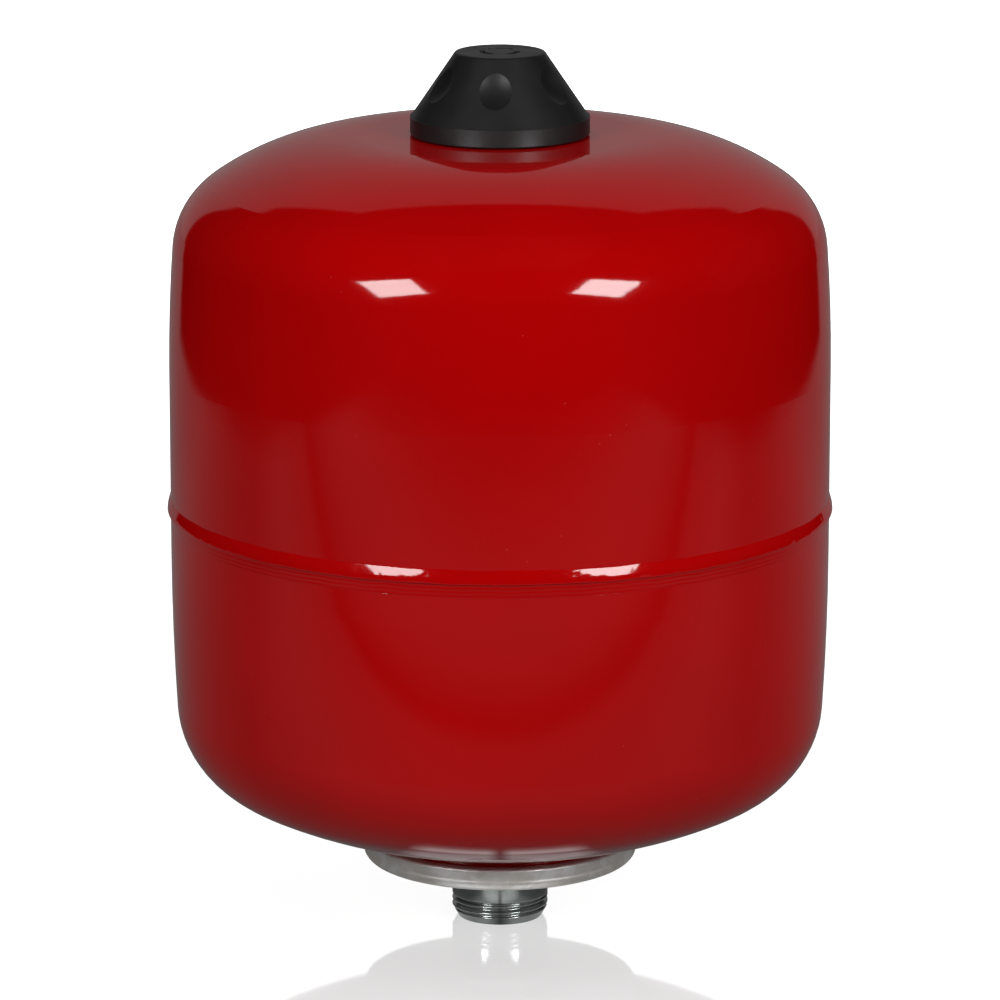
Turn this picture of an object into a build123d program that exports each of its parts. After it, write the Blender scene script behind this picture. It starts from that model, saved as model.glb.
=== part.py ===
from build123d import *
import os
from math import asin, atan2, cos, pi, radians, sin, tan

# Small bladder-type expansion vessel for a heating circuit, standing on its threaded nozzle.
# Origin: centre of the nozzle's end face. +Z runs up the vessel's axis to the air valve. Millimetres.

# ---- steel body ----
body_radius = 90.0              # outside of the upper shell's skirt
shell_wall = 1.2
crown_level = 219.4             # flat top of the upper shell
top_flat_radius = 38.8
top_crown_arc = 69.8
top_knuckle_arc = 23.2
top_side_arc = 446.0
top_side_angle = 4.3            # degrees that the long side arc turns through
bottom_level = 24.9             # flat underside of the lower shell
bottom_flat_radius = 16.8
bottom_crown_arc = 126.6
bottom_knuckle_arc = 27.1
bottom_side_arc = 753.0
bottom_side_angle = 3.3

# ---- lap joint and its weld bead ----
skirt_edge_level = 116.0        # lower edge of the upper shell
lap_overlap = 12.0              # how far the lower shell's spigot reaches up inside the skirt
lap_clearance = 0.05
joggle_height = 3.0
bead_proud = 0.9
bead_rise = 6.6                 # from the skirt edge to the bead's upper toe
bead_drop = 3.4                 # from the skirt edge to the bead's lower toe
bead_crest_rise = 2.2           # from the skirt edge to the bead's fullest line

# ---- neck, flange and bladder collar ----
neck_bore_radius = 28.0
neck_tube_radius = 34.4
neck_rim_radius = 36.2
neck_rim_height = 1.7
neck_weld_leg = 1.4
flange_sheet = 1.5
flange_bottom_level = 17.2
flange_corner_radius = 2.7
rim_fit = 0.1                   # sideways play of the neck rim inside the flange
throat_fit = 0.1                # sideways play of the bladder's throat in the neck
lip_round = 1.0
collar_thickness = 1.8
bladder_wall = 1.8
bladder_radius = 76.0
bladder_shell_gap = 5.0         # between the bladder's top and bottom and the steel
bladder_shoulder = 34.0

# ---- nozzle, G 3/4 male ----
thread_radius = 13.22
thread_pitch = 1.814
thread_depth = 1.162
thread_crest = 0.3              # width of the flat on each crest
thread_first_crest = 3.6        # height of the lowest full crest
thread_count = 2                # full crests; a plain land as wide as the thread follows them
nozzle_land_top = 13.0          # upper end of the plain land
nozzle_shank_radius = 13.0      # between the land and the flange
nozzle_bore_radius = 10.0
nozzle_end_radius = 11.5
nozzle_lead_in = 3.0
nozzle_inside_stub = 1.0        # how far the nozzle stands above the flange plate inside
nozzle_weld_leg = 1.6

# ---- valve boss and valve body ----
boss_collar_radius = 15.0
boss_collar_height = 1.2
boss_thread_radius = 12.0
boss_thread_height = 4.0
boss_bore_radius = 5.6
boss_weld_leg = 1.0
gasket_thickness = 0.8
gasket_setback = 0.2            # gasket's edge inside the hexagon's flats
hex_across_flats = 14.0
hex_height = 2.4
hex_chamfer = 0.5
body_stub_length = 9.0          # valve body below its hexagon
stem_radius = 3.85
stem_height = 5.2
stem_pitch = 0.794
stem_groove = 0.25              # depth of the thread's grooves and half their width
stem_plain_length = 1.0         # plain stem between the hexagon and the thread

# ---- valve core ----
core_head_radius = 2.6
core_head_height = 4.0
core_head_drop = 1.0            # core head below the stem's end
core_tube_radius = 1.5
core_tube_length = 5.0
core_lower_radius = 2.3         # valve body's bore below the core head
core_gasket_length = 2.2
core_gasket_taper = 0.3
pin_radius = 0.45
pin_hole_radius = 0.75
pin_drop = 0.3                  # pin tip below the stem's end
cup_radius = 1.75
cup_height = 1.6
cup_wall = 0.35
seal_thickness = 0.9
spring_coil_radius = 1.25
spring_wire_radius = 0.16
spring_turns = 6
spring_length = 4.0
body_end_hole_radius = 0.9

# ---- valve dust cap ----
dust_cap_radius = 5.2
dust_cap_roof = 1.2
dust_cap_edge_round = 0.7
dust_cap_skirt = 4.6            # skirt length below the seal
dust_cap_flutes = 12
dust_cap_flute_radius = 0.6
dust_cap_flute_offset = 0.25    # centres of the flutes beyond the cap's side
dust_cap_plain_top = 1.0        # height left without flutes
dust_seal_thickness = 0.8
dust_seal_play = 0.08
stem_clearance = 0.1

# ---- protective cap ----
cap_radius = 24.3
cap_collar_height = 4.9
cap_height = 22.4
cap_top_radius = 12.1
cap_wall = 2.0
cap_seat_gap = 0.3              # between the cap's collar and the shell's crown
cap_edge_round = 1.0
cap_foot_round = 0.5
cap_step = 0.35
cap_clocking = -4.0             # where the screwed-down cap happens to stop
dimple_count = 6
dimple_rise = 9.4               # above the collar's upper edge
dimple_arc = 12.3
dimple_depth = 1.25
slot_count = 3
slot_ring_radius = 4.8
slot_width = 1.5
slot_sweep = 72.0
cap_sleeve_wall = 2.0
cap_thread_clearance = 0.1
cap_gasket_thickness = 1.2
cap_gasket_wall = 1.7

cut_margin = 1.0                # how far a cutting body runs past what it cuts

# ---- levels and fits worked out from the sizes above ----
plate_level = flange_bottom_level + flange_sheet
rim_level = plate_level + collar_thickness
lip_level = rim_level + neck_rim_height
flange_top_level = lip_level + flange_sheet
flange_radius = neck_rim_radius + rim_fit + flange_sheet
spigot_radius = body_radius - shell_wall - lap_clearance
boss_shoulder_level = crown_level + boss_collar_height
boss_top_level = boss_shoulder_level + boss_thread_height
hex_level = boss_top_level + gasket_thickness
stem_level = hex_level + hex_height
stem_top_level = stem_level + stem_height
body_end_level = hex_level - body_stub_length
core_head_top = stem_top_level - core_head_drop
core_shoulder = core_head_top - core_head_height
core_seat = core_shoulder - core_tube_length
cup_top = core_seat - seal_thickness + cup_wall
cup_bottom = cup_top - cup_height
spring_foot = cup_bottom - spring_length
cap_bottom_level = crown_level + cap_seat_gap
cap_top_level = cap_bottom_level + cap_height
cap_gasket_level = boss_shoulder_level
cap_sleeve_level = cap_gasket_level + cap_gasket_thickness
cap_sleeve_bore = boss_thread_radius + cap_thread_clearance


def spun(*stretches):
    """Solid of revolution about Z from a closed outline, whose stretches are drawn as (radius, height)."""
    edges = [edge for stretch in stretches for edge in stretch.edges()]
    return revolve(Plane.XZ * make_face(edges), Axis.Z)


def spun_points(*points):
    """Solid of revolution about Z from the straight-sided outline through these (radius, height) points."""
    return revolve(Plane.XZ * make_face(Polyline(*points, close=True)), Axis.Z)


def ring(inner, outer, low, high):
    return spun_points((inner, low), (outer, low), (outer, high), (inner, high))


def on_arc(centre, radius, angle):
    """Point at this angle, in radians from the upward axis, on an arc about centre."""
    return (centre[0] + radius * sin(angle), centre[1] + radius * cos(angle))


def arc_between(centre, radius, start, end):
    return ThreePointArc(
        on_arc(centre, radius, start),
        on_arc(centre, radius, (start + end) / 2),
        on_arc(centre, radius, end),
    )


class Head:
    """Pressed head as three tangent arcs from a flat crown to a straight skirt, drawn opening downwards."""

    def __init__(self, level, flat, crown, knuckle, side, side_angle):
        self.level, self.flat = level, flat
        self.arcs = (crown, knuckle, side)
        lean = radians(side_angle)
        knuckle_x = body_radius - side + (side - knuckle) * cos(lean)
        turn = asin((knuckle_x - flat) / (crown - knuckle))
        knuckle_z = level - crown + (crown - knuckle) * cos(turn)
        self.skirt_level = knuckle_z - (side - knuckle) * sin(lean)
        self.centres = (
            (flat, level - crown),
            (knuckle_x, knuckle_z),
            (body_radius - side, self.skirt_level),
        )
        self.angles = (0, turn, pi / 2 - lean, pi / 2)

    def angle_at(self, radius, inset=0):
        """Angle along the crown's arc at this radius, 0 within the flat."""
        return asin(max(0, radius - self.flat) / (self.arcs[0] - inset))

    def height_at(self, radius):
        """Height of the outer surface at this radius, within the flat or the crown's arc."""
        return on_arc(self.centres[0], self.arcs[0], self.angle_at(radius))[1]

    def crown_stretch(self, inner, outer):
        """The outer surface's crown arc from one radius to another."""
        return arc_between(self.centres[0], self.arcs[0], self.angle_at(inner), self.angle_at(outer))

    def outline(self, inset, hole_radius):
        """Arcs of the surface this far inside the outer one, from the hole or the flat's edge to the skirt."""
        angles = (self.angle_at(hole_radius, inset), *self.angles[1:])
        spans = zip(self.centres, self.arcs, angles, angles[1:])
        return [arc_between(centre, arc - inset, start, end) for centre, arc, start, end in spans]

    def shell(self, hole_radius, skirt_points):
        """The wall from a hole in the crown down to the skirt, which ends in the given points, outer side first."""
        outer, inner = self.outline(0, hole_radius), self.outline(shell_wall, hole_radius)
        end = Polyline(outer[-1] @ 1, *skirt_points, inner[-1] @ 1)
        flat_edge = [(hole_radius, self.level - shell_wall), (hole_radius, self.level)]
        lip = flat_edge if hole_radius < self.flat else []
        top = Polyline(inner[0] @ 0, *lip, outer[0] @ 0)
        return spun(*outer, end, *inner, top)


top_head = Head(
    crown_level, top_flat_radius, top_crown_arc, top_knuckle_arc, top_side_arc, top_side_angle
)
bottom_head = Head(
    -bottom_level, bottom_flat_radius, bottom_crown_arc, bottom_knuckle_arc, bottom_side_arc, bottom_side_angle
)


def upper_shell():
    skirt = [(body_radius, skirt_edge_level), (body_radius - shell_wall, skirt_edge_level)]
    return top_head.shell(boss_bore_radius + shell_wall, skirt)


def lower_shell():
    """Drawn upside down, like the head it starts from, then mirrored: its joggled spigot goes up into the skirt."""
    joggle_start = -(skirt_edge_level - joggle_height)
    joggle_end = -skirt_edge_level
    spigot_end = -(skirt_edge_level + lap_overlap)
    skirt = [
        (body_radius, joggle_start),
        (spigot_radius, joggle_end),
        (spigot_radius, spigot_end),
        (spigot_radius - shell_wall, spigot_end),
        (spigot_radius - shell_wall, joggle_end),
        (body_radius - shell_wall, joggle_start),
    ]
    return mirror(bottom_head.shell(neck_bore_radius, skirt), Plane.XY)


def seam_weld():
    crest = (body_radius + bead_proud, skirt_edge_level + bead_crest_rise)
    upper_toe = (body_radius, skirt_edge_level + bead_rise)
    lower_toe = (body_radius, skirt_edge_level - bead_drop)
    root = Polyline(
        lower_toe,
        (body_radius, skirt_edge_level - joggle_height),
        (spigot_radius, skirt_edge_level),
        (body_radius, skirt_edge_level),
        upper_toe,
    )
    return spun(TangentArc(crest, upper_toe, tangent=(0, 1)), root, TangentArc(crest, lower_toe, tangent=(0, -1)))


def neck_ring():
    """Ring welded under the lower shell: a tube that meets the shell and a rim for the flange to grip."""
    profile = Polyline(
        (neck_tube_radius, bottom_head.height_at(neck_tube_radius)),
        (neck_tube_radius, -lip_level),
        (neck_rim_radius, -lip_level),
        (neck_rim_radius, -rim_level),
        (neck_bore_radius, -rim_level),
        (neck_bore_radius, bottom_head.height_at(neck_bore_radius)),
    )
    return mirror(spun(profile, bottom_head.crown_stretch(neck_bore_radius, neck_tube_radius)), Plane.XY)


def neck_weld():
    toe_radius = neck_tube_radius + neck_weld_leg
    foot = bottom_head.height_at(neck_tube_radius)
    profile = Polyline(
        (toe_radius, bottom_head.height_at(toe_radius)),
        (neck_tube_radius, foot + neck_weld_leg),
        (neck_tube_radius, foot),
    )
    return mirror(spun(profile, bottom_head.crown_stretch(neck_tube_radius, toe_radius)), Plane.XY)


def flange():
    """Pressed pan around the nozzle, its wall rolled inwards over the neck ring's rim."""
    inside = flange_radius - flange_sheet
    blank = ring(nozzle_shank_radius, flange_radius, flange_bottom_level, flange_top_level)
    blank = fillet(outer_edge(blank, flange_bottom_level), flange_corner_radius)
    blank = fillet(outer_edge(blank, flange_top_level), lip_round)
    pocket = ring(nozzle_shank_radius, inside, plate_level, lip_level)
    mouth = ring(0, neck_tube_radius + rim_fit, plate_level, flange_top_level)
    return blank - pocket - mouth


def outer_edge(solid, level):
    """The solid's widest circular edge at this level."""
    edges = solid.edges().filter_by(GeomType.CIRCLE).filter_by_position(Axis.Z, level - 0.01, level + 0.01)
    return edges.sort_by(SortBy.RADIUS)[-1]


def nozzle():
    """Threaded tube; the thread's ridges are drawn as separate rings of its real pitch and depth."""
    top = plate_level + nozzle_inside_stub
    root_radius = thread_radius - thread_depth
    half_gap = (thread_pitch - thread_crest) / 2
    tube = spun_points(
        (nozzle_bore_radius, 0),
        (nozzle_end_radius, 0),
        (thread_radius, nozzle_lead_in),
        (thread_radius, nozzle_land_top),
        (nozzle_shank_radius, nozzle_land_top),
        (nozzle_shank_radius, top),
        (nozzle_bore_radius, top),
    )
    for number in range(-2, thread_count):
        middle = thread_first_crest + (number + 0.5) * thread_pitch
        groove = spun_points(
            (root_radius, middle - thread_crest / 2),
            (thread_radius, middle - half_gap),
            (thread_radius + cut_margin, middle - half_gap),
            (thread_radius + cut_margin, middle + half_gap),
            (thread_radius, middle + half_gap),
            (root_radius, middle + thread_crest / 2),
        )
        tube -= groove
    return tube


def nozzle_weld():
    return spun_points(
        (nozzle_shank_radius, flange_bottom_level),
        (nozzle_shank_radius, flange_bottom_level - nozzle_weld_leg),
        (nozzle_shank_radius + nozzle_weld_leg, flange_bottom_level),
    )


def bladder():
    """Moulded bag: a flat collar under the neck ring, a throat through it and a round bag above."""
    throat = neck_bore_radius - throat_fit
    low = bottom_level + shell_wall + bladder_shell_gap
    high = crown_level - shell_wall - bladder_shell_gap - body_end_reach()
    bag = ring(0, bladder_radius, low, high)
    bag = fillet(outer_edge(bag, low), bladder_shoulder)
    bag = fillet(outer_edge(bag, high), bladder_shoulder)
    bag += ring(0, throat, plate_level, low + bladder_shoulder)
    bag += ring(0, neck_rim_radius, plate_level, rim_level)
    inner = ring(0, bladder_radius - bladder_wall, low + bladder_wall, high - bladder_wall)
    inner = fillet(outer_edge(inner, low + bladder_wall), bladder_shoulder - bladder_wall)
    inner = fillet(outer_edge(inner, high - bladder_wall), bladder_shoulder - bladder_wall)
    inner += ring(0, throat - bladder_wall, plate_level, low + bladder_shoulder)
    return bag - inner


def body_end_reach():
    """How far the valve body hangs below the crown's inside."""
    return max(0, crown_level - shell_wall - body_end_level)


def valve_boss():
    """Turned boss on the crown; the protective cap screws on its outside and the valve body into its bore."""
    return spun_points(
        (boss_bore_radius, crown_level - shell_wall),
        (boss_bore_radius + shell_wall, crown_level - shell_wall),
        (boss_bore_radius + shell_wall, crown_level),
        (boss_collar_radius, crown_level),
        (boss_collar_radius, boss_shoulder_level),
        (boss_thread_radius, boss_shoulder_level),
        (boss_thread_radius, boss_top_level),
        (boss_bore_radius, boss_top_level),
    )


def boss_weld():
    return spun_points(
        (boss_collar_radius, crown_level),
        (boss_collar_radius + boss_weld_leg, crown_level),
        (boss_collar_radius, crown_level + boss_weld_leg),
    )


def valve_gasket():
    return ring(boss_bore_radius, hex_across_flats / 2 - gasket_setback, boss_top_level, hex_level)


def valve_body():
    """Brass stem with a hexagon; its stub screws into the boss and its bore holds the core."""
    half_width = hex_across_flats / 2
    outline = Plane.XY.offset(hex_level) * RegularPolygon(half_width, 6, major_radius=False)
    hexagon = extrude(outline, hex_height) & spun_points(
        (0, hex_level),
        (half_width + hex_chamfer, hex_level),
        (half_width + hex_chamfer, stem_level - hex_chamfer),
        (half_width - hex_chamfer, stem_level),
        (0, stem_level),
    )
    stub = ring(0, boss_bore_radius, body_end_level, hex_level)
    stem = ring(0, stem_radius, stem_level, stem_top_level)
    body = hexagon + stub + stem
    body -= ring(0, core_head_radius, core_shoulder, stem_top_level)
    body -= ring(0, core_lower_radius, spring_foot, core_shoulder)
    body -= ring(0, body_end_hole_radius, body_end_level, spring_foot)
    for number in range(int((stem_height - stem_plain_length) / stem_pitch)):
        middle = stem_level + stem_plain_length + number * stem_pitch
        body -= spun_points(
            (stem_radius - stem_groove, middle),
            (stem_radius, middle - stem_groove),
            (stem_radius + cut_margin, middle - stem_groove),
            (stem_radius + cut_margin, middle + stem_groove),
            (stem_radius, middle + stem_groove),
        )
    return body


def core_barrel():
    head = ring(pin_hole_radius, core_head_radius, core_shoulder, core_head_top)
    tube = ring(pin_hole_radius, core_tube_radius, core_seat, core_shoulder)
    return head + tube


def core_gasket():
    low = core_shoulder - core_gasket_length
    return spun_points(
        (core_tube_radius, low),
        (core_lower_radius - core_gasket_taper, low),
        (core_lower_radius, core_shoulder),
        (core_tube_radius, core_shoulder),
    )


def core_pin():
    pin = ring(0, pin_radius, cup_bottom, stem_top_level - pin_drop)
    return fillet(outer_edge(pin, stem_top_level - pin_drop), pin_radius / 2)


def core_cup():
    """Brass cup fixed to the pin; it holds the seal against the end of the barrel's tube."""
    return spun_points(
        (pin_radius, cup_bottom),
        (cup_radius, cup_bottom),
        (cup_radius, cup_top),
        (cup_radius - cup_wall, cup_top),
        (cup_radius - cup_wall, core_seat - seal_thickness),
        (pin_radius, core_seat - seal_thickness),
    )


def core_seal():
    return ring(pin_radius, cup_radius - cup_wall, core_seat - seal_thickness, core_seat)


def core_spring():
    length = spring_length - 2 * spring_wire_radius
    path = Helix(length / spring_turns, length, spring_coil_radius)
    coil = sweep(Plane(path @ 0, z_dir=path % 0) * Circle(spring_wire_radius), path=path, is_frenet=True)
    return Pos(0, 0, spring_foot + spring_wire_radius) * coil


def dust_cap_seal():
    radius = stem_radius + stem_clearance - dust_seal_play
    return ring(0, radius, stem_top_level, stem_top_level + dust_seal_thickness)


def valve_dust_cap():
    roof_level = stem_top_level + dust_seal_thickness
    top = roof_level + dust_cap_roof
    bottom = stem_top_level - dust_cap_skirt
    cap = ring(0, dust_cap_radius, bottom, top)
    cap = fillet(outer_edge(cap, top), dust_cap_edge_round)
    cap -= ring(0, stem_radius + stem_clearance, bottom, roof_level)
    flute = Pos(dust_cap_radius + dust_cap_flute_offset, 0, bottom) * Cylinder(
        dust_cap_flute_radius,
        top - bottom - dust_cap_plain_top,
        align=(Align.CENTER, Align.CENTER, Align.MIN),
    )
    for number in range(dust_cap_flutes):
        cap -= Rot(0, 0, number * 360 / dust_cap_flutes) * flute
    return cap


def cap_gasket():
    return ring(cap_sleeve_bore, cap_sleeve_bore + cap_gasket_wall, cap_gasket_level, cap_sleeve_level)


def cap_slope():
    """Angle of the cap's cone from the vertical, in radians."""
    return atan2(cap_radius - cap_step - cap_top_radius, cap_height - cap_collar_height)


def protective_cap():
    """Conical screw cap: collar, coned side with finger dimples, slotted top and an inner threaded sleeve."""
    collar_top = cap_bottom_level + cap_collar_height
    cone_foot = cap_radius - cap_step
    outside = spun_points(
        (0, cap_bottom_level),
        (cap_radius, cap_bottom_level),
        (cap_radius, collar_top),
        (cone_foot, collar_top),
        (cap_top_radius, cap_top_level),
        (0, cap_top_level),
    )
    outside = fillet(outer_edge(outside, cap_top_level), cap_edge_round)
    outside = fillet(outer_edge(outside, cap_bottom_level), cap_foot_round)
    across = cap_wall / cos(cap_slope())
    roof = cap_top_level - cap_wall
    hollow_top = cap_top_radius - across + cap_wall * tan(cap_slope())
    hollow = spun_points(
        (0, cap_bottom_level),
        (cap_radius - cap_wall, cap_bottom_level),
        (cap_radius - cap_wall, collar_top - cap_wall / 2),
        (hollow_top, roof),
        (0, roof),
    )
    sleeve = ring(cap_sleeve_bore, cap_sleeve_bore + cap_sleeve_wall, cap_sleeve_level, roof + cap_wall / 2)
    cap = (outside - hollow) + (sleeve & outside)
    middle_radius = cone_foot - dimple_rise * tan(cap_slope())
    reach = dimple_arc - dimple_depth
    for number in range(dimple_count):
        ball = Pos(
            0,
            -(middle_radius + reach * cos(cap_slope())),
            collar_top + dimple_rise + reach * sin(cap_slope()),
        ) * Sphere(dimple_arc)
        cap -= Rot(0, 0, cap_clocking + number * 360 / dimple_count) * ball
    for number in range(slot_count):
        middle = cap_clocking + 90 + number * 360 / slot_count
        arc = CenterArc((0, 0), slot_ring_radius, middle - slot_sweep / 2, slot_sweep)
        slot = Plane.XY.offset(roof - cut_margin) * SlotArc(arc, slot_width)
        cap -= extrude(slot, cap_wall + 2 * cut_margin)
    return cap


nodes = {
    "upper_shell": upper_shell,
    "lower_shell": lower_shell,
    "seam_weld": seam_weld,
    "neck_ring": neck_ring,
    "neck_weld": neck_weld,
    "flange": flange,
    "nozzle": nozzle,
    "nozzle_weld": nozzle_weld,
    "bladder": bladder,
    "valve_boss": valve_boss,
    "boss_weld": boss_weld,
    "valve_gasket": valve_gasket,
    "valve_body": valve_body,
    "core_barrel": core_barrel,
    "core_gasket": core_gasket,
    "core_pin": core_pin,
    "core_cup": core_cup,
    "core_seal": core_seal,
    "core_spring": core_spring,
    "dust_cap_seal": dust_cap_seal,
    "valve_dust_cap": valve_dust_cap,
    "cap_gasket": cap_gasket,
    "protective_cap": protective_cap,
}

os.makedirs("parts", exist_ok=True)
for name, build in nodes.items():
    export_step(build(), f"parts/{name}.step")
    print("wrote", name)
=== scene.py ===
import math

import bmesh
import bpy
from mathutils import Matrix, Vector, noise


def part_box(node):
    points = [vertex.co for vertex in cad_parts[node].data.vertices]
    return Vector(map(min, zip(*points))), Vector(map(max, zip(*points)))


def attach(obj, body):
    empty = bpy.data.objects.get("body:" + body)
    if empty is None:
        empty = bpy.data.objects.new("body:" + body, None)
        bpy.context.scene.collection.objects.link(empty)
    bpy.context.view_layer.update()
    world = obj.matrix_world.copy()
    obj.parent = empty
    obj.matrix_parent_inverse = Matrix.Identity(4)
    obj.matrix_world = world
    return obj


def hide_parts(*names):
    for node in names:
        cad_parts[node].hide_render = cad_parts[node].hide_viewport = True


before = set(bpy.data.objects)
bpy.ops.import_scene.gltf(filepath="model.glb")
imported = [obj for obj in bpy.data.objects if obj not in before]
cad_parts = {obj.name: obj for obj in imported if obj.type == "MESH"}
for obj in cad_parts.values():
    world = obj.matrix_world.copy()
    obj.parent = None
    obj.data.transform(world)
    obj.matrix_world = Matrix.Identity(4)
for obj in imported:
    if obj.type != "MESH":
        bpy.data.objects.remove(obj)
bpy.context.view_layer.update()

print("frame loaded:", len(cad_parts), "CAD nodes")


def addNode(tree, kind, inputs=None, **settings):
    made = tree.nodes.new(kind)
    for name, value in settings.items():
        setattr(made, name, value)
    for name, value in (inputs or {}).items():
        if isinstance(value, bpy.types.NodeSocket):
            tree.links.new(value, made.inputs[name])
        else:
            made.inputs[name].default_value = value
    return made


def addMath(tree, operation, *values):
    made = addNode(tree, "ShaderNodeMath", dict(enumerate(values)), operation=operation)
    return made.outputs[0]


def addRamp(tree, factor, *stops):
    # stops are (place, colour) pairs
    made = addNode(tree, "ShaderNodeValToRGB", {"Fac": factor})
    ramp = made.color_ramp
    while len(ramp.elements) < len(stops):
        ramp.elements.new(0.5)
    for element, (place, colour) in zip(ramp.elements, stops):
        element.position = place
        element.color = colour
    return made.outputs["Color"]


def grey(value):
    return (value, value, value, 1)


def newGroup(name, inputs, outputs):
    tree = bpy.data.node_groups.new(name, "ShaderNodeTree")
    for socketName, kind, value in inputs:
        socket = tree.interface.new_socket(socketName, in_out="INPUT", socket_type=kind)
        socket.default_value = value
    for socketName, kind in outputs:
        tree.interface.new_socket(socketName, in_out="OUTPUT", socket_type=kind)
    enter = tree.nodes.new("NodeGroupInput")
    leave = tree.nodes.new("NodeGroupOutput")
    return tree, enter.outputs, leave.inputs


def placeGroup(tree, group, inputs):
    return addNode(tree, "ShaderNodeGroup", inputs, node_tree=group).outputs


# effects that several materials share

def makeMottle():
    # soft patches between two colours, with a finer break-up on top
    tree, enter, leave = newGroup(
        "softMottle",
        [
            ("Colour", "NodeSocketColor", grey(0.5)),
            ("Patch Colour", "NodeSocketColor", grey(0.4)),
            ("Scale", "NodeSocketFloat", 30.0),
            ("Stretch", "NodeSocketVector", (1, 1, 1)),
        ],
        [("Colour", "NodeSocketColor")],
    )
    place = addNode(tree, "ShaderNodeTexCoord").outputs["Object"]
    stretched = addNode(
        tree, "ShaderNodeVectorMath", {0: place, 1: enter["Stretch"]}, operation="MULTIPLY",
    )
    cloud = addNode(
        tree, "ShaderNodeTexNoise",
        {"Vector": stretched.outputs[0], "Scale": enter["Scale"], "Detail": 5.0, "Roughness": 0.6},
    )
    mask = addRamp(tree, cloud.outputs["Fac"], (0.35, grey(0)), (0.65, grey(1)))
    mixed = addNode(tree, "ShaderNodeMix", {"Factor": mask}, data_type="RGBA")
    tree.links.new(enter["Colour"], mixed.inputs[6])
    tree.links.new(enter["Patch Colour"], mixed.inputs[7])
    tree.links.new(mixed.outputs[2], leave["Colour"])
    return tree


def makeSmear():
    # roughness that wanders between two values in streaks and finger smears
    tree, enter, leave = newGroup(
        "handledGloss",
        [
            ("Low", "NodeSocketFloat", 0.1),
            ("High", "NodeSocketFloat", 0.2),
            ("Scale", "NodeSocketFloat", 20.0),
        ],
        [("Roughness", "NodeSocketFloat")],
    )
    place = addNode(tree, "ShaderNodeTexCoord").outputs["Object"]
    wander = addNode(
        tree, "ShaderNodeTexNoise",
        {"Vector": place, "Scale": enter["Scale"], "Detail": 6.0, "Distortion": 1.2},
    )
    spread = addNode(tree, "ShaderNodeMapRange", {"Value": wander.outputs["Fac"]})
    spread.inputs["From Min"].default_value = 0.3
    spread.inputs["From Max"].default_value = 0.7
    tree.links.new(enter["Low"], spread.inputs["To Min"])
    tree.links.new(enter["High"], spread.inputs["To Max"])
    tree.links.new(spread.outputs[0], leave["Roughness"])
    return tree


def makeGrain():
    # height of a fine even texture: orange peel, moulding grain or cast skin
    tree, enter, leave = newGroup(
        "fineGrain",
        [
            ("Scale", "NodeSocketFloat", 600.0),
            ("Broad Scale", "NodeSocketFloat", 60.0),
            ("Broad Share", "NodeSocketFloat", 0.3),
        ],
        [("Height", "NodeSocketFloat")],
    )
    place = addNode(tree, "ShaderNodeTexCoord").outputs["Object"]
    fine = addNode(tree, "ShaderNodeTexNoise", {"Vector": place, "Scale": enter["Scale"], "Detail": 2.0})
    broad = addNode(
        tree, "ShaderNodeTexNoise", {"Vector": place, "Scale": enter["Broad Scale"], "Detail": 1.0},
    )
    mixed = addNode(tree, "ShaderNodeMix", {"Factor": enter["Broad Share"]}, data_type="FLOAT")
    tree.links.new(fine.outputs["Fac"], mixed.inputs[2])
    tree.links.new(broad.outputs["Fac"], mixed.inputs[3])
    tree.links.new(mixed.outputs[0], leave["Height"])
    return tree


def makeSpecks():
    # sparse dust specks and tiny chips
    tree, enter, leave = newGroup(
        "dustSpecks",
        [("Scale", "NodeSocketFloat", 250.0), ("Size", "NodeSocketFloat", 0.12)],
        [("Mask", "NodeSocketFloat")],
    )
    place = addNode(tree, "ShaderNodeTexCoord").outputs["Object"]
    cells = addNode(tree, "ShaderNodeTexVoronoi", {"Vector": place, "Scale": enter["Scale"]})
    rare = addNode(tree, "ShaderNodeTexNoise", {"Vector": place, "Scale": 90.0, "Detail": 2.0})
    near = addMath(tree, "LESS_THAN", cells.outputs["Distance"], enter["Size"])
    some = addMath(tree, "GREATER_THAN", rare.outputs["Fac"], 0.6)
    tree.links.new(addMath(tree, "MULTIPLY", near, some), leave["Mask"])
    return tree


def makeSpangle():
    # zinc crystals of a hot-dip coat: each cell has its own brightness
    tree, enter, leave = newGroup(
        "zincSpangle",
        [
            ("Dark", "NodeSocketColor", grey(0.3)),
            ("Light", "NodeSocketColor", grey(0.6)),
            ("Scale", "NodeSocketFloat", 200.0),
        ],
        [("Colour", "NodeSocketColor")],
    )
    place = addNode(tree, "ShaderNodeTexCoord").outputs["Object"]
    drift = addNode(tree, "ShaderNodeTexNoise", {"Vector": place, "Scale": 45.0, "Detail": 4.0})
    bent = addNode(
        tree, "ShaderNodeMix", {"Factor": 0.02, 4: place, 5: drift.outputs["Color"]}, data_type="VECTOR",
    )
    cells = addNode(tree, "ShaderNodeTexVoronoi", {"Vector": bent.outputs[1], "Scale": enter["Scale"]})
    shade = addNode(tree, "ShaderNodeSeparateColor", {"Color": cells.outputs["Color"]})
    cloud = addMath(tree, "ADD", shade.outputs[0], drift.outputs["Fac"])
    half = addMath(tree, "MULTIPLY", cloud, 0.5)
    mixed = addNode(tree, "ShaderNodeMix", {"Factor": half}, data_type="RGBA")
    tree.links.new(enter["Dark"], mixed.inputs[6])
    tree.links.new(enter["Light"], mixed.inputs[7])
    tree.links.new(mixed.outputs[2], leave["Colour"])
    return tree


softMottle = makeMottle()
handledGloss = makeSmear()
fineGrain = makeGrain()
dustSpecks = makeSpecks()
zincSpangle = makeSpangle()


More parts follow.
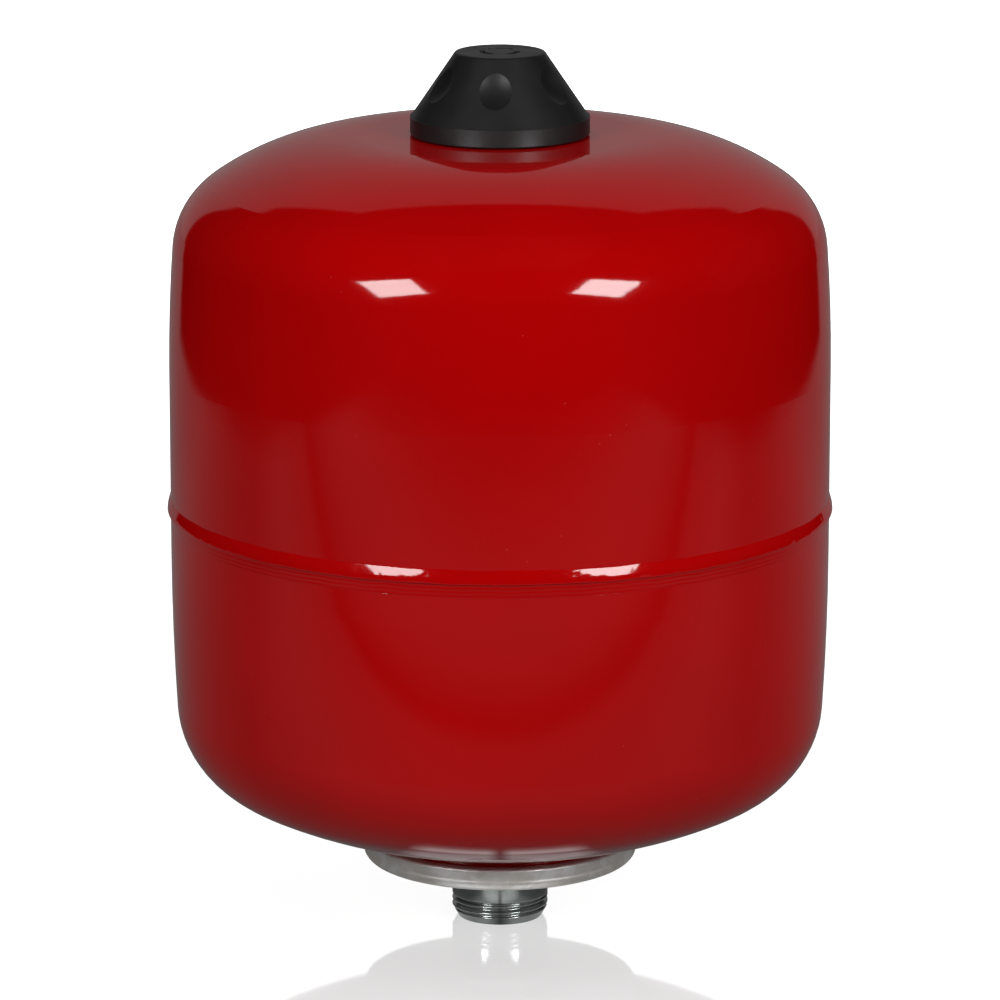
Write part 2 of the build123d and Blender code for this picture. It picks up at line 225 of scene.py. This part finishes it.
def newMaterial(name, metallic=0.0, **sockets):
    material = bpy.data.materials.new(name)
    material.use_nodes = True
    tree = material.node_tree
    shader = tree.nodes["Principled BSDF"]
    shader.inputs["Metallic"].default_value = metallic
    for socketName, value in sockets.items():
        shader.inputs[socketName.replace("_", " ")].default_value = value
    return material, tree, shader


def linkBump(tree, shader, height, strength, distance):
    bump = addNode(tree, "ShaderNodeBump", {"Height": height, "Strength": strength, "Distance": distance})
    tree.links.new(bump.outputs[0], shader.inputs["Normal"])


redGloss = {
    "colour": (0.322, 0.0006, 0.0010, 1),
    "patchColour": (0.294, 0.0005, 0.0008, 1),
    "patchScale": 14.0,
    "dust": (0.40, 0.03, 0.03, 1),
    "dustScale": 300.0,
    "dustSize": 0.05,
    "roughness": (0.045, 0.10),
    "smearScale": 12.0,
    "peelScale": 420,
    "sagScale": 55.0,            # long soft waves under the orange peel
    "peelDepth": 0.000012,
}


def makeRedGloss():
    material, tree, shader = newMaterial("redGlossPaint", IOR=1.42)
    mottle = placeGroup(tree, softMottle, {
        "Colour": redGloss["colour"], "Patch Colour": redGloss["patchColour"],
        "Scale": redGloss["patchScale"],
    })
    specks = placeGroup(tree, dustSpecks, {"Scale": redGloss["dustScale"], "Size": redGloss["dustSize"]})
    dusty = addNode(tree, "ShaderNodeMix", {"Factor": specks["Mask"]}, data_type="RGBA")
    tree.links.new(mottle["Colour"], dusty.inputs[6])
    dusty.inputs[7].default_value = redGloss["dust"]
    tree.links.new(dusty.outputs[2], shader.inputs["Base Color"])
    gloss = placeGroup(tree, handledGloss, {
        "Low": redGloss["roughness"][0], "High": redGloss["roughness"][1],
        "Scale": redGloss["smearScale"],
    })
    tree.links.new(gloss["Roughness"], shader.inputs["Roughness"])
    peel = placeGroup(tree, fineGrain, {
        "Scale": redGloss["peelScale"], "Broad Scale": redGloss["sagScale"], "Broad Share": 0.45,
    })
    linkBump(tree, shader, peel["Height"], 1.0, redGloss["peelDepth"])
    return material


galvanised = {
    "dark": (0.68, 0.67, 0.645, 1),
    "light": (0.93, 0.94, 0.94, 1),
    "stain": (0.84, 0.80, 0.74, 1),
    "spangleScale": 330,
    "metallic": 0.74,            # the rest is pale oxide
    "roughness": (0.40, 0.58),
    "skinDepth": 0.00006,
}


def makeGalvanised():
    material, tree, shader = newMaterial("galvanisedSteel", metallic=galvanised["metallic"])
    spangle = placeGroup(tree, zincSpangle, {
        "Dark": galvanised["dark"], "Light": galvanised["light"], "Scale": galvanised["spangleScale"],
    })
    stain = placeGroup(tree, softMottle, {
        "Colour": grey(1), "Patch Colour": galvanised["stain"], "Scale": 60.0, "Stretch": (1, 1, 2.5),
    })
    tinted = addNode(tree, "ShaderNodeMix", {"Factor": 1.0}, data_type="RGBA", blend_type="MULTIPLY")
    tree.links.new(spangle["Colour"], tinted.inputs[6])
    tree.links.new(stain["Colour"], tinted.inputs[7])
    tree.links.new(tinted.outputs[2], shader.inputs["Base Color"])
    gloss = placeGroup(tree, handledGloss, {
        "Low": galvanised["roughness"][0], "High": galvanised["roughness"][1], "Scale": 90.0,
    })
    tree.links.new(gloss["Roughness"], shader.inputs["Roughness"])
    skin = placeGroup(tree, fineGrain, {"Scale": 900.0, "Broad Scale": 180.0, "Broad Share": 0.6})
    linkBump(tree, shader, skin["Height"], 0.6, galvanised["skinDepth"])
    return material


zincPlate = {
    "colour": (0.40, 0.43, 0.42, 1),
    "patchColour": (0.31, 0.335, 0.325, 1),
    "roughness": (0.13, 0.21),
    "markDepth": 0.00003,
}


def makeZincPlate():
    material, tree, shader = newMaterial("zincPlatedSteel", metallic=1.0)
    mottle = placeGroup(tree, softMottle, {
        "Colour": zincPlate["colour"], "Patch Colour": zincPlate["patchColour"], "Scale": 160.0,
    })
    tree.links.new(mottle["Colour"], shader.inputs["Base Color"])
    gloss = placeGroup(tree, handledGloss, {
        "Low": zincPlate["roughness"][0], "High": zincPlate["roughness"][1], "Scale": 140.0,
    })
    tree.links.new(gloss["Roughness"], shader.inputs["Roughness"])
    turned = placeGroup(tree, fineGrain, {"Scale": 1500.0, "Broad Scale": 300.0, "Broad Share": 0.3})
    linkBump(tree, shader, turned["Height"], 0.5, zincPlate["markDepth"])
    return material


mouldedBlack = {
    "colour": (0.0060, 0.0060, 0.0064, 1),
    "patchColour": (0.0088, 0.0088, 0.0092, 1),
    "roughness": (0.40, 0.50),
    "dullRoughness": (0.45, 0.6),
    "grainDepth": 0.00002,
}


def makeMouldedBlack(name, roughness):
    material, tree, shader = newMaterial(name, IOR=1.46)
    mottle = placeGroup(tree, softMottle, {
        "Colour": mouldedBlack["colour"], "Patch Colour": mouldedBlack["patchColour"],
        "Scale": 90.0, "Stretch": (1, 1, 0.4),
    })
    tree.links.new(mottle["Colour"], shader.inputs["Base Color"])
    gloss = placeGroup(tree, handledGloss, {"Low": roughness[0], "High": roughness[1], "Scale": 60.0})
    tree.links.new(gloss["Roughness"], shader.inputs["Roughness"])
    skin = placeGroup(tree, fineGrain, {"Scale": 1100.0, "Broad Scale": 120.0, "Broad Share": 0.35})
    linkBump(tree, shader, skin["Height"], 0.7, mouldedBlack["grainDepth"])
    return material


turnedMetal = {
    "turnedBrass": {
        "colour": (0.62, 0.42, 0.16, 1),
        "patch": (0.48, 0.31, 0.11, 1),
        "roughness": (0.18, 0.34),
    },
    "springSteel": {
        "colour": (0.50, 0.50, 0.50, 1),
        "patch": (0.38, 0.38, 0.37, 1),
        "roughness": (0.15, 0.28),
    },
}


def makeTurnedMetal(name):
    finish = turnedMetal[name]
    material, tree, shader = newMaterial(name, metallic=1.0)
    mottle = placeGroup(tree, softMottle, {
        "Colour": finish["colour"], "Patch Colour": finish["patch"], "Scale": 260.0, "Stretch": (1, 1, 3),
    })
    tree.links.new(mottle["Colour"], shader.inputs["Base Color"])
    gloss = placeGroup(tree, handledGloss, {
        "Low": finish["roughness"][0], "High": finish["roughness"][1], "Scale": 300.0,
    })
    tree.links.new(gloss["Roughness"], shader.inputs["Roughness"])
    marks = placeGroup(tree, fineGrain, {"Scale": 2500.0, "Broad Scale": 500.0, "Broad Share": 0.4})
    linkBump(tree, shader, marks["Height"], 0.5, 0.00001)
    return material


rubbers = {
    "butylBlack": {"colour": (0.018, 0.018, 0.018, 1), "patch": (0.030, 0.029, 0.028, 1)},
    "sealGrey": {"colour": (0.055, 0.055, 0.058, 1), "patch": (0.040, 0.040, 0.042, 1)},
}


def makeRubber(name):
    material, tree, shader = newMaterial(name, IOR=1.45)
    mottle = placeGroup(tree, softMottle, {
        "Colour": rubbers[name]["colour"], "Patch Colour": rubbers[name]["patch"], "Scale": 45.0,
    })
    tree.links.new(mottle["Colour"], shader.inputs["Base Color"])
    gloss = placeGroup(tree, handledGloss, {"Low": 0.55, "High": 0.75, "Scale": 80.0})
    tree.links.new(gloss["Roughness"], shader.inputs["Roughness"])
    skin = placeGroup(tree, fineGrain, {"Scale": 800.0, "Broad Scale": 90.0, "Broad Share": 0.5})
    linkBump(tree, shader, skin["Height"], 0.8, 0.00008)
    return material


redPaint = makeRedGloss()
galvanisedSteel = makeGalvanised()
zincSteel = makeZincPlate()
blackPlastic = makeMouldedBlack("mouldedBlackPlastic", mouldedBlack["roughness"])
dullPlastic = makeMouldedBlack("dullBlackPlastic", mouldedBlack["dullRoughness"])
brass = makeTurnedMetal("turnedBrass")
springSteel = makeTurnedMetal("springSteel")
butylRubber = makeRubber("butylBlack")
sealRubber = makeRubber("sealGrey")
print("materials made")

finishes = {
    "upper_shell": redPaint, "lower_shell": redPaint, "neck_ring": redPaint,
    "neck_weld": redPaint, "boss_weld": redPaint, "nozzle_weld": galvanisedSteel,
    "valve_boss": zincSteel, "valve_body": brass, "core_barrel": brass, "core_cup": brass,
    "core_pin": springSteel, "core_spring": springSteel,
    "bladder": butylRubber, "valve_gasket": sealRubber, "core_gasket": sealRubber,
    "core_seal": sealRubber, "dust_cap_seal": sealRubber, "cap_gasket": sealRubber,
    "valve_dust_cap": dullPlastic, "protective_cap": blackPlastic,
}
for nodeName, finish in finishes.items():
    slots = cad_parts[nodeName].data.materials
    slots.clear()
    slots.append(finish)


def spinMesh(name, columns, profileAt):
    # closed ring: profileAt(angle) gives the closed outline (radius, height) at that angle
    form = bmesh.new()
    loops = []
    for column in range(columns):
        angle = 2 * math.pi * column / columns
        loops.append([
            form.verts.new((radius * math.cos(angle), radius * math.sin(angle), height))
            for radius, height in profileAt(angle)
        ])
    for column, loop in enumerate(loops):
        after = loops[(column + 1) % columns]
        for row in range(len(loop)):
            nextRow = (row + 1) % len(loop)
            form.faces.new((loop[row], after[row], after[nextRow], loop[nextRow]))
    bmesh.ops.recalc_face_normals(form, faces=form.faces)
    mesh = bpy.data.meshes.new(name)
    form.to_mesh(mesh)
    form.free()
    for face in mesh.polygons:
        face.use_smooth = True
    piece = bpy.data.objects.new(name, mesh)
    bpy.context.scene.collection.objects.link(piece)
    return piece


def finishPiece(piece, material, slot, body, *replaced):
    piece.data.materials.append(material)
    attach(piece, body)
    if replaced:
        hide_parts(*replaced)
    print("piece:", piece.name, len(piece.data.polygons), "faces")
    return piece


def around(angle, size, z=0.0, seed=0.0):
    # smooth noise that closes on itself round the axis
    return noise.noise(Vector((math.cos(angle) * size, math.sin(angle) * size, z + seed)))


# weld bead round the waist: one smooth rounded run, with fine ridges under it and a wandering toe
bead = {
    "columns": 1200,
    "toeDrop": 0.0022,          # from the top of the bead's room to its upper toe
    "crestDrop": 0.0058,        # and to its fullest line
    "stepDrop": 0.0062,         # and to the step above the fine ridges
    "stepDepth": 0.00068,
    "softRise": 0.0013,         # nearly upright just above the fullest line, then leaning back
    "softSlope": (0.03, 68),    # fall for each metre of rise, and for each metre squared
    "steepSlope": (0.245, 21),
    "skin": 0.00002,            # left between the fullest line and the edge of the bead's room
    "footRise": 0.0004,
    "ridgePitch": 0.0011,
    "ridgeDepth": 0.00003,
    "toeWander": 0.00025,
    "swell": 0.000035,          # long shallow lumps along the run
    "lump": 0.000110,           # short ones, only here and there
    "lumpFloor": 0.22,          # how much of the noise is cut away to keep them apart
    "root": 0.0006,             # how deep the bead reaches into the shells
    "flankRows": 20,
    "bellyRows": 5,
    "ridgeRows": 24,
}


def makeWeldBead():
    low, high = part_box("seam_weld")
    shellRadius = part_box("upper_shell")[1].x
    full = high.x - bead["skin"]

    def fallAt(rise):
        soft = min(rise, bead["softRise"])
        steep = rise - soft
        softFall = bead["softSlope"][0] * soft + bead["softSlope"][1] * soft ** 2
        return softFall + bead["steepSlope"][0] * steep + bead["steepSlope"][1] * steep ** 2

    def lumpsAt(angle, z):
        sparse = max(0.0, around(angle, 42.0, z=z * 500, seed=3.0) - bead["lumpFloor"])
        return bead["swell"] * around(angle, 12.0, z=z * 260, seed=6.0) - bead["lump"] * sparse

    def profile(angle):
        toe = high.z - bead["toeDrop"] + bead["toeWander"] * around(angle, 9.0)
        crest = high.z - bead["crestDrop"] + bead["toeWander"] * around(angle, 11.0, seed=2.0)
        step = high.z - bead["stepDrop"] + bead["toeWander"] * around(angle, 14.0, seed=4.0)
        bottom = low.z + bead["footRise"]
        outline = []
        for row in range(bead["ridgeRows"]):
            share = row / bead["ridgeRows"]
            z = bottom + (step - bottom) * share
            base = shellRadius + (full - bead["stepDepth"] - shellRadius) * share
            wave = math.cos(2 * math.pi * (z - step) / bead["ridgePitch"]) - 1
            outline.append((base + bead["ridgeDepth"] * wave, z))
        for row in range(bead["bellyRows"]):
            share = 1 - row / bead["bellyRows"]
            z = crest + (step - crest) * share
            outline.append((full - bead["stepDepth"] * share ** 2 + lumpsAt(angle, z), z))
        for row in range(bead["flankRows"] + 1):
            share = row / bead["flankRows"]
            z = crest + (toe - crest) * share
            outline.append((full - fallAt(z - crest) + lumpsAt(angle, z) * (1 - share ** 4), z))
        outline = [(min(radius, high.x), z) for radius, z in outline]
        outline.append((shellRadius - bead["root"], toe))
        outline.append((shellRadius - bead["root"], bottom))
        return outline

    piece = spinMesh("weldBead", bead["columns"], profile)
    return finishPiece(piece, redPaint, "red_paint", "vessel", "seam_weld")


# flange: pressed pan with a rolled-over lip, a soft crease where its wall meets the rounding
pan = {
    "columns": 360,
    "cornerRadius": 0.0027,
    "lipRadius": 0.00075,
    "sheet": 0.0015,
    "lipReach": 0.0033,
    "rollWander": 0.00012,
    "rollRoom": (0.00015, 0.0001),  # kept free at the side and the top for that wander
    "creaseRise": 0.0006,
    "creaseDepth": 0.00010,
    "creaseWidth": 0.0005,
    "boreLap": 0.0003,              # how far the pan reaches into the nozzle's wall
    "wallRows": 14,
}


def arcPoints(centre, radius, start, end, count):
    # degrees from +radius towards +height
    points = []
    for step in range(count + 1):
        turn = math.radians(start + (end - start) * step / count)
        points.append((centre[0] + radius * math.cos(turn), centre[1] + radius * math.sin(turn)))
    return points


def makeFlangePan():
    low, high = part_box("flange")
    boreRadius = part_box("nozzle")[1].x - pan["boreLap"]
    corner, lip, sheet = pan["cornerRadius"], pan["lipRadius"], pan["sheet"]
    creaseLevel = low.z + corner + pan["creaseRise"]

    def profile(angle):
        wander = pan["rollWander"] * around(angle, 5.0)
        side = high.x - pan["rollRoom"][0] + wander * 0.5
        top = high.z - pan["rollRoom"][1] + wander
        outline = [(boreRadius, low.z), ((boreRadius + side - corner) / 2, low.z)]
        outline += arcPoints((side - corner, low.z + corner), corner, -90, 0, 12)
        for row in range(1, pan["wallRows"]):
            z = low.z + corner + (top - lip - low.z - corner) * row / pan["wallRows"]
            dent = pan["creaseDepth"] * math.exp(-((z - creaseLevel) / pan["creaseWidth"]) ** 2)
            outline.append((side - dent, z))
        outline += arcPoints((side - lip, top - lip), lip, 0, 90, 6)
        outline += arcPoints((side - pan["lipReach"] + lip, top - lip), lip, 90, 270, 10)
        inner = side - sheet
        outline += [(inner, top - 2 * lip), (inner, low.z + sheet), (boreRadius, low.z + sheet)]
        return outline

    piece = spinMesh("flangePan", pan["columns"], profile)
    return finishPiece(piece, galvanisedSteel, "galvanised_steel", "vessel", "flange")


# nozzle: tube with a real helical thread, a bevelled lead-in and a plain land above
stub = {
    "columns": 192,
    "firstRow": 0.0001,
    "rowHeight": 0.00011,
    "pitch": 0.001814,
    "depth": 0.00105,
    "crestFlat": 0.00035,
    "rootFlat": 0.00025,
    "firstCrest": 0.0036,
    "threadTop": 0.0066,
    "runOut": 0.0009,
    "straightShare": 0.65,      # of the flank's slope; the rest eases into crest and root
    "landTop": 0.0130,
    "shankStep": 0.0002,
    "endRadius": 0.0115,
    "leadIn": 0.0030,
    "boreRadius": 0.0100,
    "boreBevel": 0.0004,
}


def threadDip(height, angle):
    # 0 on a crest, 1 in a root
    phase = ((height - stub["firstCrest"]) / stub["pitch"] - angle / (2 * math.pi) - 0.25) % 1.0
    away = min(phase, 1 - phase) * stub["pitch"]
    flank = stub["pitch"] / 2 - stub["crestFlat"] / 2 - stub["rootFlat"] / 2
    dip = min(1.0, max(0.0, (away - stub["crestFlat"] / 2) / flank))
    rounded = dip * dip * (3 - 2 * dip)
    return rounded * (1 - stub["straightShare"]) + dip * stub["straightShare"]


def makeThreadedNozzle():
    low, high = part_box("nozzle")
    outer = high.x
    rows = round((stub["landTop"] - 2 * stub["firstRow"]) / stub["rowHeight"])

    def profile(angle):
        outline = [(stub["boreRadius"], high.z), (stub["boreRadius"], high.z / 2)]
        outline += [(stub["boreRadius"], low.z + stub["boreBevel"])]
        outline += [(stub["boreRadius"] + stub["boreBevel"], low.z)]
        for row in range(rows + 1):
            height = stub["firstRow"] + row * stub["rowHeight"]
            cone = stub["endRadius"] + (outer - stub["endRadius"]) * min(1.0, height / stub["leadIn"])
            fade = min(1.0, max(0.0, (stub["threadTop"] - height) / stub["runOut"]))
            threaded = outer - stub["depth"] * threadDip(height, angle) * fade
            outline.append((min(cone, threaded), height))
        shank = outer - stub["shankStep"]
        outline += [(shank, stub["landTop"]), (shank, high.z)]
        return outline

    piece = spinMesh("threadedNozzle", stub["columns"], profile)
    return finishPiece(piece, zincSteel, "zinc_steel", "vessel", "nozzle")


makeWeldBead()
makeFlangePan()
makeThreadedNozzle()


stageLook = {
    "floorSize": 9.0,
    "floorColour": grey(0.30),
    "floorPatch": grey(0.29),
    "floorRoughness": 0.05,
    "floorLift": 0.47,           # most of its white is glow, so that no shade collects under the vessel
    "liftReach": (0.30, 1.0),    # metres from the vessel over which that glow rises to full white
    # painted reflection: glow that only the vessel's gloss sees on the floor, from far in front of it to
    # far behind: (metres along Y, brightness); it paints a table, with painted shade close round the vessel
    # and a dark band of painted shadow at the table's front edge
    "paintedTableGlow": [
        (-0.95, 0.0), (-0.70, 0.07), (-0.58, 0.17), (-0.50, 0.21), (-0.42, 0.19), (-0.36, 0.12),
        (-0.31, 0.03), (-0.28, 0.15), (-0.16, 0.22), (-0.08, 0.15), (-0.03, 0.10), (0.05, 0.10),
        (0.20, 0.14), (0.35, 0.18), (0.50, 0.16), (0.90, 0.18),
    ],
    # the next four shape the painted table and the painted pale wall's foot in that glow
    "tableWide": 0.72,           # half width of the table beside the vessel
    "tableTaper": (-0.35, 0.80),  # slope and start of its far corners
    "tableEdge": 0.03,           # how softly its sides end
    "wallFoot": (0.71, 0.05),    # slope and start of the pale wall's foot
    # painted highlight: a bright glowing patch on the floor close in front of the nozzle, split in two,
    # which the nozzle reflects as its highlight
    "paintedHighlightAcross": [(0.0012, 0.0), (0.0026, 1.0), (0.025, 1.0), (0.030, 0.0)],
    "paintedHighlightAlong": [
        (-0.056, 0.0), (-0.052, 0.9), (-0.038, 0.9), (-0.034, 0.1), (-0.026, 0.3), (0.0, 0.3), (0.01, 0.0),
    ],
    "roomBright": 0.24,          # pale wall behind, as the vessel reflects it
    "roomDark": 0.004,           # unlit room in front and above
    "wallSide": 0.66,            # half width and height of that wall, for each metre away
    "wallTop": 1.73,
    "wallEdges": (0.02, 0.04),   # how softly its side and its top end
    "ambient": 0.08,
    # painted light: a flat glow the floor shows to dull surfaces, standing in for light thrown back from it
    "paintedBounce": 0.36,              # what the floor gives back to dull surfaces
}


def softBelow(tree, value, limit, softness):
    # 1 where the value lies under the limit, 0 above it
    spread = addNode(tree, "ShaderNodeMapRange", {
        "Value": addMath(tree, "SUBTRACT", value, limit),
        "From Min": -softness, "From Max": softness, "To Min": 1.0, "To Max": 0.0,
    })
    return spread.outputs[0]


def makePaintedFloorGlow(tree, place):
    # colour of the floor as the vessel's gloss sees it, all painted reflection: a table with painted shade,
    # a pale wall's foot, a bright patch that is the nozzle's painted highlight
    axes = addNode(tree, "ShaderNodeSeparateXYZ", {"Vector": place}).outputs
    along = addNode(tree, "ShaderNodeMapRange", {"Value": axes["Y"], "From Min": -1.0, "From Max": 1.0})
    across = addMath(tree, "ABSOLUTE", axes["X"])

    def greyRamp(factor, name, low=0.0):
        stops = [((at - low) / (1.0 - low), grey(value)) for at, value in stageLook[name]]
        return addRamp(tree, factor, *stops)

    def joinGreys(first, second, operation):
        return addNode(tree, "ShaderNodeVectorMath", {0: first, 1: second}, operation=operation).outputs[0]

    taper = addMath(tree, "MULTIPLY_ADD", axes["Y"], *stageLook["tableTaper"])
    side = addMath(tree, "MINIMUM", taper, stageLook["tableWide"])
    foot = addMath(tree, "MULTIPLY_ADD", axes["Y"], *stageLook["wallFoot"])
    inside = softBelow(tree, across, addMath(tree, "MAXIMUM", side, foot), stageLook["tableEdge"])
    # table is the painted table reflection with its painted shade, patch the painted highlight for the
    # nozzle
    table = joinGreys(greyRamp(along.outputs[0], "paintedTableGlow", -1), inside, "MULTIPLY")
    patch = joinGreys(
        greyRamp(along.outputs[0], "paintedHighlightAlong", -1), greyRamp(across, "paintedHighlightAcross"), "MULTIPLY",
    )
    return joinGreys(table, patch, "ADD")


def makeFloorMaterial():
    # camera rays see a pale polished floor, gloss sees the painted reflection glow of a table, dull
    # surfaces a flat grey glow of painted light
    material, tree, shader = newMaterial("paleFloor", IOR=1.33, Roughness=stageLook["floorRoughness"])
    mottle = placeGroup(tree, softMottle, {
        "Colour": stageLook["floorColour"], "Patch Colour": stageLook["floorPatch"], "Scale": 3.0,
    })
    tree.links.new(mottle["Colour"], shader.inputs["Base Color"])
    place = addNode(tree, "ShaderNodeTexCoord").outputs["Object"]
    # emission of the painted reflections, seen only by rays that are neither camera nor diffuse rays
    glow = addNode(tree, "ShaderNodeEmission", {"Color": makePaintedFloorGlow(tree, place)})
    shader.inputs["Emission Color"].default_value = grey(1)
    reach = addNode(tree, "ShaderNodeVectorMath", {0: place}, operation="LENGTH").outputs["Value"]
    near, far = stageLook["liftReach"]
    lift = addNode(tree, "ShaderNodeMapRange", {
        "Value": reach, "From Min": near, "From Max": far,
        "To Min": stageLook["floorLift"], "To Max": 1.0,
    })
    tree.links.new(lift.outputs[0], shader.inputs["Emission Strength"])
    paintedBounce = addNode(tree, "ShaderNodeEmission", {"Color": grey(stageLook["paintedBounce"])})
    path = addNode(tree, "ShaderNodeLightPath").outputs

    def pick(ray, otherwise, chosen):
        mixed = addNode(tree, "ShaderNodeMixShader", {0: path[ray]})
        tree.links.new(otherwise, mixed.inputs[1])
        tree.links.new(chosen, mixed.inputs[2])
        return mixed.outputs[0]

    # diffuse rays get the flat painted light, other rays, gloss above all, the painted reflection glow
    unseen = pick("Is Diffuse Ray", glow.outputs[0], paintedBounce.outputs[0])
    both = pick("Is Camera Ray", unseen, shader.outputs[0])
    tree.links.new(both, tree.nodes["Material Output"].inputs["Surface"])
    return material


def makeFloor():
    bpy.ops.mesh.primitive_grid_add(x_subdivisions=4, y_subdivisions=4, size=stageLook["floorSize"])
    floor = bpy.context.object
    floor.name = "studioFloor"
    floor.data.materials.append(makeFloorMaterial())
    floorOnly = bpy.data.collections.new("floorOnly")
    floorOnly.objects.link(floor)
    return floorOnly


def makeWorld():
    # white to the camera, a pale wall behind the vessel to its gloss, dim grey to the rest
    world = bpy.data.worlds.new("studioAir")
    world.use_nodes = True
    bpy.context.scene.world = world
    tree = world.node_tree
    direction = addNode(tree, "ShaderNodeTexCoord").outputs["Generated"]
    axes = addNode(tree, "ShaderNodeSeparateXYZ", {"Vector": direction}).outputs
    away = addMath(tree, "MAXIMUM", axes["Y"], 0.001)
    sideways = addMath(tree, "DIVIDE", addMath(tree, "ABSOLUTE", axes["X"]), away)
    upward = addMath(tree, "DIVIDE", axes["Z"], away)
    sideEdge, topEdge = stageLook["wallEdges"]
    wall = addMath(
        tree, "MULTIPLY",
        softBelow(tree, sideways, stageLook["wallSide"], sideEdge),
        softBelow(tree, upward, stageLook["wallTop"], topEdge),
    )
    room = addNode(tree, "ShaderNodeMapRange", {
        "Value": wall, "To Min": stageLook["roomDark"], "To Max": stageLook["roomBright"],
    })
    path = addNode(tree, "ShaderNodeLightPath").outputs

    def pick(ray, otherwise, chosen):
        mixed = addNode(tree, "ShaderNodeMix", {"Factor": path[ray]}, data_type="RGBA")
        for slot, colour in ((6, otherwise), (7, chosen)):
            if isinstance(colour, bpy.types.NodeSocket):
                tree.links.new(colour, mixed.inputs[slot])
            else:
                mixed.inputs[slot].default_value = colour
        return mixed.outputs[2]

    unseen = pick("Is Glossy Ray", grey(stageLook["ambient"]), room.outputs[0])
    seen = pick("Is Camera Ray", unseen, grey(1))
    tree.links.new(seen, tree.nodes["Background"].inputs["Color"])


# azimuth 0 is towards the viewer and positive to the right; roll turns a lamp about its own aim
lamps = {
    "softboxLeft": {
        "azimuth": -37, "elevation": 19, "distance": 1.3, "size": (0.42, 0.40), "watts": 9.5, "roll": 30,
    },
    "softboxRight": {
        "azimuth": 37, "elevation": 19, "distance": 1.3, "size": (0.42, 0.40), "watts": 10.5, "roll": -30,
    },
    "topFill": {
        "azimuth": 0, "elevation": 70, "distance": 1.4, "size": (1.2, 1.2), "watts": 7.5, "glossy": False,
    },
    "rightFill": {
        "azimuth": 95, "elevation": 15, "distance": 1.4, "size": (0.9, 0.9), "watts": 3, "glossy": False,
    },
    "backFill": {
        "azimuth": 180, "elevation": 10, "distance": 1.4, "size": (1.1, 1.1), "watts": 11, "glossy": False,
    },
    "floorWash": {
        "azimuth": 0, "elevation": 89, "distance": 2.6, "size": (4.0, 4.0), "watts": 8, "floor": True,
    },
}
sheen = {"count": 8, "elevation": 13, "distance": 2.6, "size": (2.3, 1.0), "watts": 13, "floor": True}
aimHeight = 0.15                 # lamps for the vessel aim at this height, those for the floor at 0


def addLamp(name, look, floorOnly):
    lamp = bpy.data.lights.new(name, "AREA")
    lamp.shape = "RECTANGLE"
    lamp.size, lamp.size_y = look["size"]
    lamp.energy = look["watts"]
    box = bpy.data.objects.new(name, lamp)
    bpy.context.scene.collection.objects.link(box)
    across, up = math.radians(look["azimuth"]), math.radians(look["elevation"])
    away = Vector((math.sin(across) * math.cos(up), -math.cos(across) * math.cos(up), math.sin(up)))
    target = Vector((0, 0, 0 if look.get("floor") else aimHeight))
    box.location = target + away * look["distance"]
    roll = Matrix.Rotation(math.radians(look.get("roll", 0)), 3, "Z")
    aim = away.to_track_quat("Z", "Y").to_matrix() @ roll
    box.rotation_euler = aim.to_euler()
    box.visible_camera = False
    box.visible_glossy = look.get("glossy", True)
    if look.get("floor"):
        box.light_linking.receiver_collection = floorOnly


def makeLamps(floorOnly):
    for name, look in lamps.items():
        addLamp(name, look, floorOnly)
    for number in range(sheen["count"]):
        addLamp("floorSheen" + str(number), {"azimuth": number * 360 / sheen["count"], **sheen}, floorOnly)


view = {
    "lens": 230,
    "sensor": 36,
    "place": (0.0, -1.7008, 0.5226),
    "tilt": 76.616,              # degrees up from straight down
}


def makeCamera():
    eye = bpy.data.cameras.new("studioCamera")
    eye.lens = view["lens"]
    eye.sensor_width = view["sensor"]
    eye.dof.use_dof = False
    camera = bpy.data.objects.new("studioCamera", eye)
    camera.location = view["place"]
    camera.rotation_euler = (math.radians(view["tilt"]), 0, 0)
    bpy.context.scene.collection.objects.link(camera)
    bpy.context.scene.camera = camera


makeWorld()
makeLamps(makeFloor())
makeCamera()
bpy.context.scene.view_settings.view_transform = "Standard"
print("stage set")
